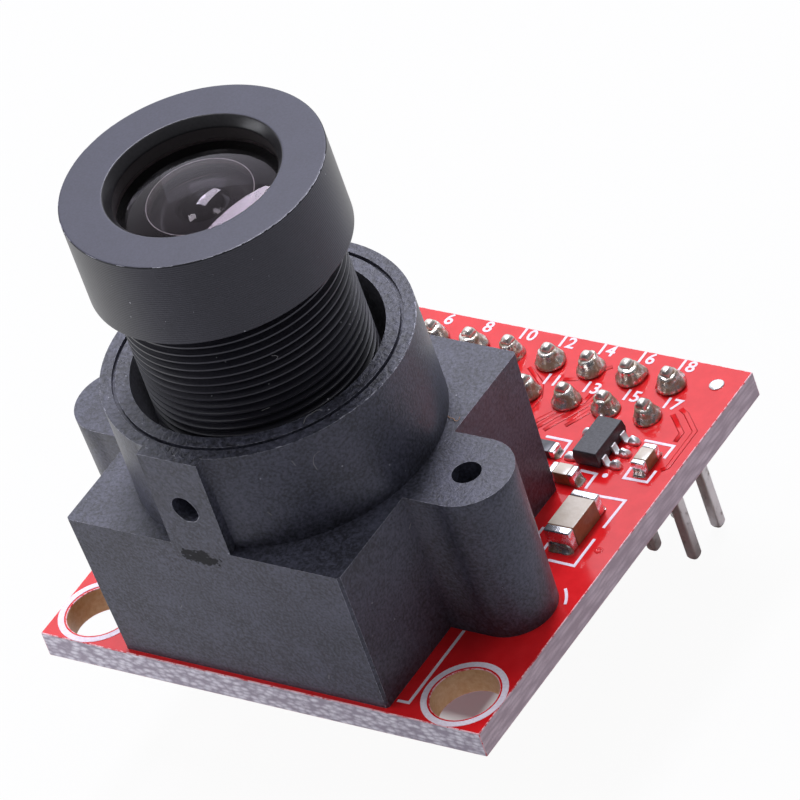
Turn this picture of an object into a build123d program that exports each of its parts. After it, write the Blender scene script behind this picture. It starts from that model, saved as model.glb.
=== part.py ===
from build123d import *

import os
from math import asin, atan, cos, degrees, sin, sqrt

# Circuit board. X runs across it, Y runs back to the pin header and Z is up.
# The origin is midway between the two mounting holes, on the board's underside.
board_width = 28.0
board_depth = 28.0
board_thickness = 1.6
mounting_hole_diameter = 3.7
mounting_hole_inset = 2.35

# Two-row pin header, fitted from below and soldered on top.
pin_pitch = 2.54
pin_columns = 9
pin_rows = 2
pin_side = 0.64
pin_tip_chamfer = 0.16
pin_above_board = 1.3
pin_below_board = 8.4
header_edge_distance = 2.1
header_block_height = 2.5
header_notch = 0.45
solder_sides = 8
solder_foot_radius = 0.76
solder_top_radius = 0.48
solder_height = 0.95

# Lens holder: a drafted box with two screw ears and a round turret.
axis_offset = -0.2
holder_header_gap = 5.81
holder_width = 17.3
holder_depth = 17.5
base_height = 9.35
draft_angle = 1.5
holder_corner_break = 0.15
cavity_width = 13.4
cavity_height = 4.2
ear_spacing = 22.0
ear_radius = 2.55
ear_hole_diameter = 1.6
turret_diameter = 16.8
turret_height = 6.1
turret_bore_diameter = 13.6
turret_bore_depth = 4.6
rim_groove_diameter = 15.3
rim_groove_width = 0.22
rim_groove_depth = 0.25
boss_width = 3.75
set_screw_hole_diameter = 1.6
set_screw_below_rim = 3.4

# Screws that come up through the board into the ears.
screw_head_diameter = 3.4
screw_head_height = 1.2
screw_length = 6.0
screw_clearance = 0.03
screw_slot_width = 0.36
screw_slot_length = 1.9
screw_slot_depth = 0.7
board_screw_clearance = 0.3

# Lens barrel, turned in one piece with its grip head.
thread_diameter = 12.0
thread_clearance = 0.05
head_diameter = 14.0
head_height = 5.1
head_gap = 6.45
head_edge_chamfer = 0.25
barrel_length = 15.9
mouth_diameter = 9.4
mouth_depth = 0.55
seat_diameter = 8.7
seat_depth = 1.95
baffle_diameter = 5.4
baffle_depth = 0.35
throat_diameter = 3.0
throat_length = 0.3
rear_bore_diameter = 8.6
filter_seat_diameter = 10.0
filter_seat_depth = 0.8
optic_clearance = 0.05

# Lens elements, the rings between them, and the filter at the rear.
front_lens_edge = 0.7
front_lens_rise = 0.65
front_lens_dish_diameter = 5.4
front_lens_dish_depth = 0.8
middle_lens_edge = 1.4
middle_lens_dome_diameter = 2.5
middle_lens_dome_rise = 1.0
stop_thickness = 0.3
stop_diameter = 1.6
ring_bore_diameter = 6.2
spacer_length = 7.6
rear_lens_edge = 1.2
rear_lens_dome_diameter = 3.0
rear_lens_rise = 0.35
retaining_ring_length = 1.2
filter_thickness = 0.55

# Image sensor under the lens.
sensor_width = 6.0
sensor_thickness = 0.6
sensor_glass_thickness = 0.4
sensor_glass_inset = 0.15
sensor_land_pitch = 0.9
sensor_lands_per_side = 6
sensor_land_side = 0.4
sensor_land_height = 0.2

# Small parts on the board.
regulator_length = 2.9
regulator_width = 1.6
regulator_height = 1.0
regulator_standoff = 0.1
regulator_side_slope = 8.0
regulator_side_offset = 0.6
regulator_header_gap = 1.4
lead_pitch = 0.95
lead_width = 0.4
lead_thickness = 0.14
lead_span = 2.8
lead_foot_length = 0.4
large_chip_size = (1.6, 3.2, 1.25)
large_chip_cap = 0.5
large_chip_side_gap = 1.7
large_chip_ear_gap = 1.86
small_chip_size = (0.8, 1.6, 0.8)
small_chip_cap = 0.35
small_chip_lead_gap = 1.25
small_chip_header_gap = 2.4
hidden_chip_holder_gap = 0.05
hidden_chip_side_distance = 0.7
resistor_size = (0.8, 1.6, 0.5)
resistor_cap = 0.3
resistor_holder_gap = 1.65
resistor_side_distance = 2.4

# Places that follow from the sizes above.
board_top = board_thickness
front_edge = -mounting_hole_inset
back_edge = front_edge + board_depth
right_edge = board_width / 2
mounting_hole_x = right_edge - mounting_hole_inset
outer_row = back_edge - header_edge_distance
inner_row = outer_row - pin_pitch * (pin_rows - 1)
holder_right = axis_offset + holder_width / 2
holder_back = inner_row - holder_header_gap
axis_y = holder_back - holder_depth / 2
regulator_x = holder_right + regulator_side_offset
base_top = board_top + base_height
rim_top = base_top + turret_height
head_bottom = rim_top + head_gap
head_top = head_bottom + head_height
barrel_bottom = head_bottom - barrel_length
seat_level = head_top - seat_depth
throat_top = seat_level - baffle_depth
shoulder_level = throat_top - throat_length
stop_level = shoulder_level - middle_lens_edge
spacer_top = stop_level - stop_thickness
rear_lens_top = spacer_top - spacer_length
ring_top = rear_lens_top - rear_lens_edge
optic_radius = rear_bore_diameter / 2 - optic_clearance
sensor_bottom = board_top + sensor_land_height
sensor_top = sensor_bottom + sensor_thickness
screw_shank_radius = ear_hole_diameter / 2 - screw_clearance


def on_axis(shape):
    """Moves a shape from the Z axis onto the optical axis."""
    return Pos(axis_offset, axis_y, 0) * shape


def turned(*corners):
    """A solid turned about Z from the (radius, height) corners of its section."""
    outline = Polyline(*[(r, 0, z) for r, z in corners], close=True)
    return revolve(make_face(outline), Axis.Z)


def dome_arc(radius, rim_level, rise):
    """The section of a dome, from the axis out to its rim."""
    ball = (radius**2 + rise**2) / (2 * rise)
    half_angle = asin(radius / ball) / 2
    top = rim_level + rise
    middle = (ball * sin(half_angle), 0, top - ball * (1 - cos(half_angle)))
    return ThreePointArc((0, 0, top), middle, (radius, 0, rim_level))


def glass(radius, rim_level, flat_level, dome_radius, rise):
    """A lens element with one flat face; its dome points away from that face."""
    dome = dome_arc(dome_radius, rim_level, rise)
    corners = [dome @ 1, (radius, 0, rim_level), (radius, 0, flat_level), (0, 0, flat_level), dome @ 0]
    if dome_radius == radius:
        corners = corners[1:]
    section = make_face([dome, Polyline(*corners)])
    return on_axis(revolve(section, Axis.Z))


def block(size, centre, bottom):
    """A box of the given size, standing at a level over a point in the plan."""
    width, depth, height = size
    align = (Align.CENTER, Align.CENTER, Align.MIN)
    return Pos(centre[0], centre[1], bottom) * Box(width, depth, height, align=align)


def rod(radius, bottom, top):
    """An upright cylinder on the Z axis between two levels."""
    align = (Align.CENTER, Align.CENTER, Align.MIN)
    return Pos(0, 0, bottom) * Cylinder(radius, top - bottom, align=align)


def pin_places():
    """The centres of the header's pins, row by row."""
    middle = (pin_columns - 1) / 2
    places = []
    for row in range(pin_rows):
        for column in range(pin_columns):
            places.append(((column - middle) * pin_pitch, outer_row - row * pin_pitch))
    return places


def ear_places():
    """The centres of the two screw ears, left and right of the lens."""
    return [(axis_offset + side * ear_spacing / 2, axis_y) for side in (-1, 1)]


def circuit_board():
    """The bare board; solder fills the pin holes, so each hole is as wide as its pin."""
    centre_y = front_edge + board_depth / 2
    plan = Pos(0, centre_y) * Rectangle(board_width, board_depth)
    for side in (-1, 1):
        plan -= Pos(side * mounting_hole_x, 0) * Circle(mounting_hole_diameter / 2)
    for place in pin_places():
        plan -= Pos(*place) * Rectangle(pin_side, pin_side)
    for place in ear_places():
        plan -= Pos(*place) * Circle(screw_shank_radius + board_screw_clearance)
    return extrude(plan, board_thickness)


def header_block():
    """The moulded strip under the board, notched between its pins on both sides."""
    length = pin_columns * pin_pitch
    width = pin_rows * pin_pitch
    centre_y = (outer_row + inner_row) / 2
    plan = Pos(0, centre_y) * Rectangle(length, width)
    notch = Rectangle(header_notch * sqrt(2), header_notch * sqrt(2), rotation=45)
    for column in range(1, pin_columns):
        x = column * pin_pitch - length / 2
        for side in (-1, 1):
            plan -= Pos(x, centre_y + side * width / 2) * notch
    for place in pin_places():
        plan -= Pos(*place) * Rectangle(pin_side, pin_side)
    return extrude(plan, -header_block_height)


def header_pins():
    pin = block((pin_side, pin_side, pin_below_board + board_top + pin_above_board),
                (0, 0), -pin_below_board)
    ends = pin.faces().filter_by(Axis.Z)
    pin = chamfer(ends.edges(), pin_tip_chamfer)
    return [Pos(*place) * pin for place in pin_places()]


def header_solder():
    """A faceted solder cone round each pin, on the board's upper side."""
    foot = Pos(0, 0, board_top) * RegularPolygon(solder_foot_radius, solder_sides, major_radius=False)
    slope = atan((solder_foot_radius - solder_top_radius) / solder_height)
    cone = extrude(foot, solder_height, taper=degrees(slope))
    cone -= block((pin_side, pin_side, board_top + solder_height), (0, 0), 0)
    return [Pos(*place) * cone for place in pin_places()]


def holder_base():
    """The drafted box and its ears, widest at the top, with the cavity over the sensor."""
    top_plane = Plane((0, 0, base_top), x_dir=(1, 0, 0), z_dir=(0, 0, -1))
    box = extrude(top_plane * Rectangle(holder_width, holder_depth), base_height, taper=draft_angle)
    level_edges = box.edges().group_by(Axis.Z)
    upright = [edge for edge in box.edges() if edge not in level_edges[0] + level_edges[-1]]
    box = chamfer(upright, holder_corner_break)
    ear_reach = ear_spacing / 2
    ear_plan = Rectangle(ear_spacing, 2 * ear_radius)
    for side in (-1, 1):
        ear_plan += Pos(side * ear_reach, 0) * Circle(ear_radius)
    ears = extrude(top_plane * ear_plan, base_height, taper=draft_angle)
    return box + ears


def lens_holder():
    front_face = -holder_depth / 2
    rim_radius = turret_diameter / 2
    body = holder_base() + rod(rim_radius, base_top, rim_top)
    body += Pos(0, 0, base_top) * Box(boss_width, -front_face, turret_height,
                                      align=(Align.CENTER, Align.MAX, Align.MIN))
    body -= block((cavity_width, cavity_width, cavity_height), (0, 0), board_top)
    body -= rod(thread_diameter / 2 + thread_clearance, board_top, rim_top + 1)
    body -= rod(turret_bore_diameter / 2, rim_top - turret_bore_depth, rim_top + 1)
    groove_middle = rim_groove_diameter / 2
    body -= turned(
        (groove_middle - rim_groove_width / 2, rim_top - rim_groove_depth),
        (groove_middle + rim_groove_width / 2, rim_top - rim_groove_depth),
        (groove_middle + rim_groove_width / 2, rim_top + 1),
        (groove_middle - rim_groove_width / 2, rim_top + 1),
    )
    for side in (-1, 1):
        body -= Pos(side * ear_spacing / 2, 0, 0) * rod(ear_hole_diameter / 2, 0, base_top + 1)
    screw_level = rim_top - set_screw_below_rim
    drill = Rot(90, 0, 0) * Cylinder(set_screw_hole_diameter / 2, holder_depth,
                                     align=(Align.CENTER, Align.CENTER, Align.MIN))
    body -= Pos(0, 0, screw_level) * drill
    return on_axis(body)


def holder_screws():
    """Pan-head screws with a cross recess; their ends stop inside the ears."""
    screw = rod(screw_head_diameter / 2, -screw_head_height, 0)
    screw += rod(screw_shank_radius, 0, screw_length)
    for turn in (0, 90):
        slot = block((screw_slot_length, screw_slot_width, screw_slot_depth), (0, 0),
                     -screw_head_height)
        screw -= Rot(0, 0, turn) * slot
    return [Pos(*place) * screw for place in ear_places()]


def lens_barrel():
    """Head, threaded body and stepped bore, turned from one bar."""
    head = head_diameter / 2
    body = thread_diameter / 2
    mouth = mouth_diameter / 2
    seat = seat_diameter / 2
    rear = rear_bore_diameter / 2
    filter_seat = filter_seat_diameter / 2
    return on_axis(turned(
        (mouth, head_top),
        (head, head_top),
        (head, head_bottom + head_edge_chamfer),
        (head - head_edge_chamfer, head_bottom),
        (body, head_bottom),
        (body, barrel_bottom),
        (filter_seat, barrel_bottom),
        (filter_seat, barrel_bottom + filter_seat_depth),
        (rear, barrel_bottom + filter_seat_depth),
        (rear, shoulder_level),
        (throat_diameter / 2, shoulder_level),
        (throat_diameter / 2, throat_top),
        (baffle_diameter / 2, seat_level),
        (seat, seat_level),
        (seat, head_top - mouth_depth),
    ))


def ring(outer, inner, top, height):
    """A plain ring in the barrel's rear bore."""
    return on_axis(rod(outer, top - height, top) - rod(inner, top - height, top))


def front_lens():
    """The outermost element, with a dish in its rear that the next one's dome rises into."""
    radius = seat_diameter / 2 - optic_clearance
    lens = glass(radius, seat_level + front_lens_edge, seat_level, radius, front_lens_rise)
    curve = dome_arc(front_lens_dish_diameter / 2, seat_level, front_lens_dish_depth)
    dish = make_face([curve, Polyline(curve @ 1, (0, 0, seat_level), curve @ 0)])
    return lens - on_axis(revolve(dish, Axis.Z))


def middle_lens():
    """The element under the throat; its small dome rises through it into the front one's dish."""
    return glass(optic_radius, shoulder_level, stop_level,
                 middle_lens_dome_diameter / 2, middle_lens_dome_rise)


def rear_lens():
    return glass(optic_radius, rear_lens_top, ring_top, rear_lens_dome_diameter / 2, rear_lens_rise)


def infrared_filter():
    """A square plate that sits in the barrel's rear recess on its four corners."""
    side = (filter_seat_diameter - 2 * optic_clearance) / sqrt(2)
    seat = barrel_bottom + filter_seat_depth
    return block((side, side, filter_thickness), (axis_offset, axis_y), seat - filter_thickness)


def sensor_solder():
    """The ring of solder lands that carries the sensor."""
    middle = (sensor_lands_per_side - 1) / 2
    land = (sensor_land_side, sensor_land_side, sensor_land_height)
    lands = []
    for row in range(sensor_lands_per_side):
        for column in range(sensor_lands_per_side):
            outermost = {row, column} & {0, sensor_lands_per_side - 1}
            if outermost:
                place = ((column - middle) * sensor_land_pitch, (row - middle) * sensor_land_pitch)
                lands.append(on_axis(block(land, place, board_top)))
    return lands


def image_sensor():
    return block((sensor_width, sensor_width, sensor_thickness), (axis_offset, axis_y), sensor_bottom)


def sensor_glass():
    side = sensor_width - 2 * sensor_glass_inset
    return block((side, side, sensor_glass_thickness), (axis_offset, axis_y), sensor_top)


def regulator_place():
    """Where the regulator stands, behind the holder's back right corner."""
    return Pos(regulator_x, inner_row - regulator_header_gap - regulator_length / 2, 0)


def regulator_body():
    """A moulded package whose four sides slope in above and below its leads."""
    bottom = board_top + regulator_standoff
    half = regulator_height / 2
    waist = Rectangle(regulator_width, regulator_length)
    upper = extrude(Pos(0, 0, bottom + half) * waist, half, taper=regulator_side_slope)
    lower_plane = Plane((0, 0, bottom + half), x_dir=(1, 0, 0), z_dir=(0, 0, -1))
    lower = extrude(lower_plane * waist, half, taper=regulator_side_slope)
    return regulator_place() * (upper + lower)


def regulator_leads():
    """Gull-wing leads: three on the right side, two on the left."""
    side = regulator_width / 2
    shoulder = board_top + regulator_standoff + regulator_height / 2
    knee = side + (lead_span / 2 - side - lead_foot_length) / 2
    toe = lead_span / 2
    t = lead_thickness
    outline = Polyline(
        (side, 0, shoulder),
        (knee, 0, shoulder),
        (toe - lead_foot_length, 0, board_top + t),
        (toe, 0, board_top + t),
        (toe, 0, board_top),
        (toe - lead_foot_length - t, 0, board_top),
        (knee - t, 0, shoulder - t),
        (side, 0, shoulder - t),
        close=True,
    )
    lead = extrude(make_face(outline), lead_width / 2, both=True)
    leads = []
    for row in (-1, 0, 1):
        leads.append(Pos(0, row * lead_pitch, 0) * lead)
        if row != 0:
            leads.append(Rot(0, 0, 180) * Pos(0, row * lead_pitch, 0) * lead)
    return [regulator_place() * piece for piece in leads]


def chip(size, cap, along_x=False):
    """The ceramic body of a chip part, standing on Z = 0, and its two end caps."""
    width, length, height = size
    body = block((width, length - 2 * cap, height), (0, 0), 0)
    end = (length - cap) / 2
    caps = [block((width, cap, height), (0, side * end), 0) for side in (-1, 1)]
    turn = Rot(0, 0, 90 if along_x else 0)
    return turn * body, [turn * piece for piece in caps]


def chip_places():
    """Where each chip part stands, by name."""
    large_x = holder_right + large_chip_side_gap + large_chip_size[0] / 2
    large_y = axis_y + ear_radius + large_chip_ear_gap + large_chip_size[1] / 2
    small_x = regulator_x + lead_span / 2 + small_chip_lead_gap + small_chip_size[0] / 2
    small_y = inner_row - small_chip_header_gap - small_chip_size[1] / 2
    hidden_x = holder_right + hidden_chip_side_distance - small_chip_size[1] / 2
    hidden_y = holder_back + hidden_chip_holder_gap + small_chip_size[0] / 2
    resistor_x = holder_right - resistor_side_distance
    resistor_y = holder_back + resistor_holder_gap + resistor_size[0] / 2
    return {
        "large": Pos(large_x, large_y, board_top),
        "small": Pos(small_x, small_y, board_top),
        "hidden": Pos(hidden_x, hidden_y, board_top),
        "resistor": Pos(resistor_x, resistor_y, board_top),
    }


def save(name, shape):
    """Writes one node; a list becomes a group of separate solids."""
    solid = Compound(children=[piece for piece in shape]) if isinstance(shape, list) else shape
    export_step(solid, f"parts/{name}.step")


os.makedirs("parts", exist_ok=True)
places = chip_places()
large_body, large_caps = chip(large_chip_size, large_chip_cap)
small_body, small_caps = chip(small_chip_size, small_chip_cap)
hidden_body, hidden_caps = chip(small_chip_size, small_chip_cap, along_x=True)
resistor_chip, resistor_caps = chip(resistor_size, resistor_cap, along_x=True)

save("circuit_board", circuit_board())
save("lens_holder", lens_holder())
save("holder_screws", holder_screws())
save("header_block", header_block())
save("header_pins", header_pins())
save("header_solder", header_solder())
save("image_sensor", image_sensor())
save("sensor_glass", sensor_glass())
save("sensor_solder", sensor_solder())
save("regulator_body", regulator_body())
save("regulator_leads", regulator_leads())
save("large_capacitor_body", places["large"] * large_body)
save("large_capacitor_caps", [places["large"] * piece for piece in large_caps])
save("small_capacitor_bodies", [places["small"] * small_body, places["hidden"] * hidden_body])
save("small_capacitor_caps", [places["small"] * piece for piece in small_caps]
     + [places["hidden"] * piece for piece in hidden_caps])
save("resistor_body", places["resistor"] * resistor_chip)
save("resistor_caps", [places["resistor"] * piece for piece in resistor_caps])
save("lens_barrel", lens_barrel())
save("aperture_stop", ring(optic_radius, stop_diameter / 2, stop_level, stop_thickness))
save("spacer_tube", ring(optic_radius, ring_bore_diameter / 2, spacer_top, spacer_length))
save("rear_retaining_ring", ring(optic_radius, ring_bore_diameter / 2, ring_top, retaining_ring_length))
save("front_lens", front_lens())
save("middle_lens", middle_lens())
save("rear_lens", rear_lens())
save("infrared_filter", infrared_filter())
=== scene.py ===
import random
from math import cos, pi, radians, sin, sqrt, tau

import bmesh
import bpy
from mathutils import Matrix, Vector, noise


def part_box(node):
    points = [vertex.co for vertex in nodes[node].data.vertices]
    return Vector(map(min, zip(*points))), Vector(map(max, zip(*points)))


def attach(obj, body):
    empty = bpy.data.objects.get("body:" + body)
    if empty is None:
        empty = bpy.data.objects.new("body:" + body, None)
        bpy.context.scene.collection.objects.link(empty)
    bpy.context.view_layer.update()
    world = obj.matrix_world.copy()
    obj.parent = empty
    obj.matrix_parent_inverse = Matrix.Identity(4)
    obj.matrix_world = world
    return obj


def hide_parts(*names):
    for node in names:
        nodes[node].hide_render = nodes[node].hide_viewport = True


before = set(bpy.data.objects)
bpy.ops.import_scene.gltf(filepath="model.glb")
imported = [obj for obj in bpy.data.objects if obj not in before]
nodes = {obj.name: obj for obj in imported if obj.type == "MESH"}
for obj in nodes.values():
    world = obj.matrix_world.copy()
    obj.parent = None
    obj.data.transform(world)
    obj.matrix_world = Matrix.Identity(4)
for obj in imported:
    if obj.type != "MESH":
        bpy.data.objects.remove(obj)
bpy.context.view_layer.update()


# Circuit board: a square of glass-epoxy laminate under red solder mask, with bare cut edges.
# Its two front holes are drilled for the mounting screws. Everything else is soldered
# or screwed to it.
mm = 0.001
board_low, board_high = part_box("circuit_board")
board_top = board_high.z / mm
board_edge = 0.05
hole_x = 11.65
hole_radius = 1.85
side_limit = 0.5
merge_gap = 0.0001
flat_angle = radians(0.4)
bend_angle = radians(32)


def feed(tree, socket, value):
    """Links a socket to another, or gives it a plain value; colours come as three numbers."""
    if isinstance(value, bpy.types.NodeSocket):
        tree.links.new(value, socket)
    else:
        socket.default_value = (*value, 1) if socket.type == "RGBA" else value


def fill(tree, made, **inputs):
    """Gives a node its inputs by name, linked or plain; returns the node."""
    for label, value in inputs.items():
        feed(tree, made.inputs[label.replace("_", " ")], value)
    return made


def add(tree, kind, **inputs):
    """Adds a shader node with the given inputs."""
    return fill(tree, tree.nodes.new("ShaderNode" + kind), **inputs)


def math(tree, operation, *values, kind="Math"):
    """A Math or VectorMath node of the given operation; returns its output."""
    made = tree.nodes.new("ShaderNode" + kind)
    made.operation = operation
    for socket, value in zip(made.inputs, values):
        feed(tree, socket, value)
    return made.outputs["Value" if operation == "DOT_PRODUCT" else 0]


def mapped(tree, value, start, stop, low=0.0, high=1.0):
    """Maps start to low and stop to high, and holds the value between them."""
    return add(tree, "MapRange", Value=value, From_Min=start, From_Max=stop, To_Min=low,
               To_Max=high).outputs["Result"]


def cloud(tree, scale, detail, roughness=0.5):
    """Soft noise in the object's own space; returns its value."""
    where = add(tree, "TexCoord").outputs["Object"]
    return add(tree, "TexNoise", Vector=where, Scale=scale, Detail=detail,
               Roughness=roughness).outputs["Fac"]


def axes(tree):
    """The X, Y and Z of the object's own space, as sockets."""
    return add(tree, "SeparateXYZ", Vector=add(tree, "TexCoord").outputs["Object"]).outputs


def blended(tree, mask, under, over):
    """One colour over another through a mask; returns the colour."""
    made = tree.nodes.new("ShaderNodeMix")
    made.data_type = "RGBA"
    for label, value in (("Factor_Float", mask), ("A_Color", under), ("B_Color", over)):
        feed(tree, next(s for s in made.inputs if s.identifier == label), value)
    return next(s for s in made.outputs if s.identifier == "Result_Color")


def new_group(name, taken, given):
    """An empty node group with its sockets; returns it, its inputs and its output."""
    group = bpy.data.node_groups.new(name, "ShaderNodeTree")
    for side, labels in (("INPUT", taken), ("OUTPUT", given)):
        for label in labels.split():
            kind = "NodeSocketColor" if label in ("Colour", "Fleck") else "NodeSocketFloat"
            group.interface.new_socket(label, in_out=side, socket_type=kind)
    return group, group.nodes.new("NodeGroupInput").outputs, group.nodes.new("NodeGroupOutput")


def place(tree, group, **inputs):
    """Puts a node group into a material with its own values; returns its outputs."""
    made = tree.nodes.new("ShaderNodeGroup")
    made.node_tree = group
    return fill(tree, made, **inputs).outputs


def grain_group():
    """Two tones mixed by fine noise, and the noise as a height; Size is in millimetres."""
    group, taken, given = new_group("grain", "Colour Fleck Size Spread", "Colour Height")
    scale = math(group, "DIVIDE", 1 / mm, taken["Size"])
    fine = cloud(group, scale, 3.0, 0.62)
    broad = cloud(group, math(group, "DIVIDE", scale, 14.0), 2.0)
    both = mapped(group, math(group, "MULTIPLY_ADD", broad, 0.35, fine), 0.52, 0.86)
    mask = math(group, "MULTIPLY", both, taken["Spread"])
    colour = blended(group, mask, taken["Colour"], taken["Fleck"])
    fill(group, given, Colour=colour, Height=fine)
    return group


def speck_group():
    """A mask of scattered dust specks; Cell is their spacing in millimetres."""
    group, taken, given = new_group("specks", "Cell Radius Share", "Mask")
    where = add(group, "TexCoord").outputs["Object"]
    bend = add(group, "TexNoise", Vector=where, Scale=5 / mm, Detail=1.0).outputs["Color"]
    shifted = math(group, "MULTIPLY_ADD", bend, [0.06 * mm] * 3, where, kind="VectorMath")
    scale = math(group, "DIVIDE", 1 / mm, taken["Cell"])
    cells = add(group, "TexVoronoi", Vector=shifted, Scale=scale).outputs
    reach = math(group, "MULTIPLY", cells["Color"], taken["Radius"])
    close = math(group, "LESS_THAN", cells["Distance"], reach)
    pick = add(group, "SeparateColor", Color=cells["Color"]).outputs["Blue"]
    chosen = math(group, "LESS_THAN", pick, taken["Share"])
    fill(group, given, Mask=math(group, "MULTIPLY", close, chosen))
    return group


def wear_group():
    """A broken mask for edges that are rubbed pale, and for the board rim's painted highlight;
    Size is in millimetres.
    """
    group, taken, given = new_group("wear_and_highlight_mask", "Size Cover", "Mask")
    patches = cloud(group, math(group, "DIVIDE", 1 / mm, taken["Size"]), 4.0, 0.7)
    level = math(group, "SUBTRACT", 0.9, math(group, "MULTIPLY", taken["Cover"], 0.8))
    fill(group, given, Mask=mapped(group, patches, level, math(group, "ADD", level, 0.12)))
    return group


grain = grain_group()
specks = speck_group()
wear_and_highlight_mask = wear_group()


def finish(name, roughness, metallic=0.0, **sockets):
    """A material whose plain values sit on the shader; returns it, its tree and its shader."""
    material = bpy.data.materials.new(name)
    material.use_nodes = True
    tree = material.node_tree
    shader = tree.nodes["Principled BSDF"]
    fill(tree, shader, Roughness=roughness, Metallic=metallic, **sockets)
    return material, tree, shader


def surface(tree, shader, shade, height, strength, distance):
    """Gives a shader its colour, and its relief as deep as distance in millimetres."""
    bump = add(tree, "Bump", Strength=strength, Distance=distance * mm, Height=height)
    fill(tree, shader, Base_Color=shade, Normal=bump.outputs["Normal"])


def grained(name, colour, fleck, size, roughness, relief=0.3, spread=0.5, **sockets):
    """A finish with fine mottled colour and its grain in relief."""
    material, tree, shader = finish(name, roughness, **sockets)
    mottle = place(tree, grain, Colour=colour, Fleck=fleck, Size=size, Spread=spread)
    surface(tree, shader, mottle["Colour"], mottle["Height"], relief, size / 4)
    return material


def dusted(tree, shade, cell, radius, share, dust):
    """A colour with specks of dust on it."""
    dots = place(tree, specks, Cell=cell, Radius=radius, Share=share)
    return blended(tree, dots["Mask"], shade, dust)


def new_object(name, data, materials=()):
    """Puts an object into the scene and gives its mesh its materials."""
    made = bpy.data.objects.new(name, data)
    bpy.context.scene.collection.objects.link(made)
    for material in materials:
        data.materials.append(material)
    return made


def softened(name, node, edge, materials, body="board", edge_material=-1):
    """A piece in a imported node's shape with its outer edges rounded off, standing for it."""
    data = nodes[node].data.copy()
    shape = bmesh.new()
    shape.from_mesh(data)
    bmesh.ops.remove_doubles(shape, verts=shape.verts, dist=merge_gap * mm)
    bmesh.ops.dissolve_limit(shape, angle_limit=flat_angle, verts=shape.verts, edges=shape.edges)
    share = shape.edges.layers.float.new("bevel_weight_edge")
    for line in shape.edges:
        bent = line.is_manifold and line.calc_face_angle(0.0) > bend_angle
        line[share] = 1.0 if bent and line.is_convex else 0.0
        line.smooth = not bent or line.is_convex
    shape.to_mesh(data)
    shape.free()
    data.materials.clear()
    data.shade_smooth()
    piece = new_object(name, data, materials)
    rounding = piece.modifiers.new("rounding", "BEVEL")
    rounding.width = edge * mm
    rounding.segments = 2
    rounding.limit_method = "WEIGHT"
    rounding.material = edge_material
    piece.modifiers.new("flats", "WEIGHTED_NORMAL").keep_sharp = True
    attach(piece, body)
    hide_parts(node)
    return piece


def new_piece(name, shape, materials, slot, body="board", smooth=True):
    """Turns a bmesh into a piece that rides on a body."""
    bmesh.ops.recalc_face_normals(shape, faces=shape.faces)
    data = bpy.data.meshes.new(name)
    shape.to_mesh(data)
    shape.free()
    if smooth:
        data.shade_smooth()
    piece = new_object(name, data, materials)
    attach(piece, body)
    return piece


def mask_finish():
    """Red lacquer that is nearly a mirror, with faint orange-peel and a few specks."""
    material, tree, shader = finish("solder_mask", 0.13, IOR=1.55)
    mottle = place(tree, grain, Colour=(0.66, 0.010, 0.013), Fleck=(0.76, 0.016, 0.020),
                   Size=0.9, Spread=0.8)
    shade = dusted(tree, mottle["Colour"], 1.3, 0.12, 0.08, (0.8, 0.7, 0.68))
    surface(tree, shader, shade, mottle["Height"], 0.12, 0.01)
    return material


def laminate_finish(name, gap, dull, pale, length):
    """The cut edge: layers of glass cloth, pale ovals where the bundles are cut across."""
    layer_height = 0.23
    material, tree, shader = finish(name, 0.5)
    parts = axes(tree)
    sway = cloud(tree, 0.8 / mm, 2.0)
    along = math(tree, "ADD", parts["X"], parts["Y"])
    along = math(tree, "MULTIPLY", along, 1 / (length * mm))
    layer = math(tree, "MULTIPLY_ADD", parts["Z"], 1 / (layer_height * mm), sway)
    bundles = add(tree, "CombineXYZ", X=along, Y=layer).outputs[0]
    ovals = add(tree, "TexVoronoi", Vector=bundles, Scale=1.0, Randomness=0.75)
    fibre = cloud(tree, 9 / mm, 3.0, 0.7)
    fullness = math(tree, "MULTIPLY_ADD", fibre, -0.45, ovals.outputs["Distance"])
    levels = mapped(tree, fullness, 0.50, 0.0)
    shade = blended(tree, levels, gap, blended(tree, sway, dull, pale))
    surface(tree, shader, shade, levels, 0.5, 0.03)
    return material


def lip_finish():
    """The lacquer's rim along the cut, with a pale pink painted highlight broken up by noise."""
    material, tree, shader = finish("board_rim_painted_highlight", 0.35)
    highlight_breaks = place(tree, wear_and_highlight_mask, Size=0.35, Cover=0.62)["Mask"]
    fill(tree, shader, Base_Color=blended(tree, highlight_breaks, (0.66, 0.04, 0.05), (0.90, 0.55, 0.58)))
    return material


solder_mask = mask_finish()
cut_across = laminate_finish("laminate_front", (0.42, 0.36, 0.42), (0.80, 0.74, 0.80),
                             (1.0, 0.97, 1.0), 0.5)
cut_along = laminate_finish("laminate_side", (0.50, 0.37, 0.40), (0.66, 0.51, 0.54),
                            (0.78, 0.62, 0.65), 1.4)
# The board's rounded top edge gets a painted pale pink highlight.
board_rim_painted_highlight = lip_finish()
hole_wall = grained("drilled_laminate", (0.56, 0.29, 0.11), (0.74, 0.50, 0.28), 0.25, 0.35)
board_finishes = [solder_mask, cut_across, hole_wall, board_rim_painted_highlight, cut_along]
# Its rounded top edges take the painted highlight.
board = softened("board_plate", "circuit_board", board_edge, board_finishes,
                 edge_material=board_finishes.index(board_rim_painted_highlight))
for face in board.data.polygons:
    if abs(face.normal.z) < side_limit:
        x, y = face.center.x / mm, face.center.y / mm
        near_hole = min((x - hole_x) ** 2, (x + hole_x) ** 2) + y * y < (hole_radius + 0.2) ** 2
        cut = cut_across if abs(face.normal.y) > 0.7 else cut_along
        face.material_index = board_finishes.index(hole_wall if near_hole else cut)


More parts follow.
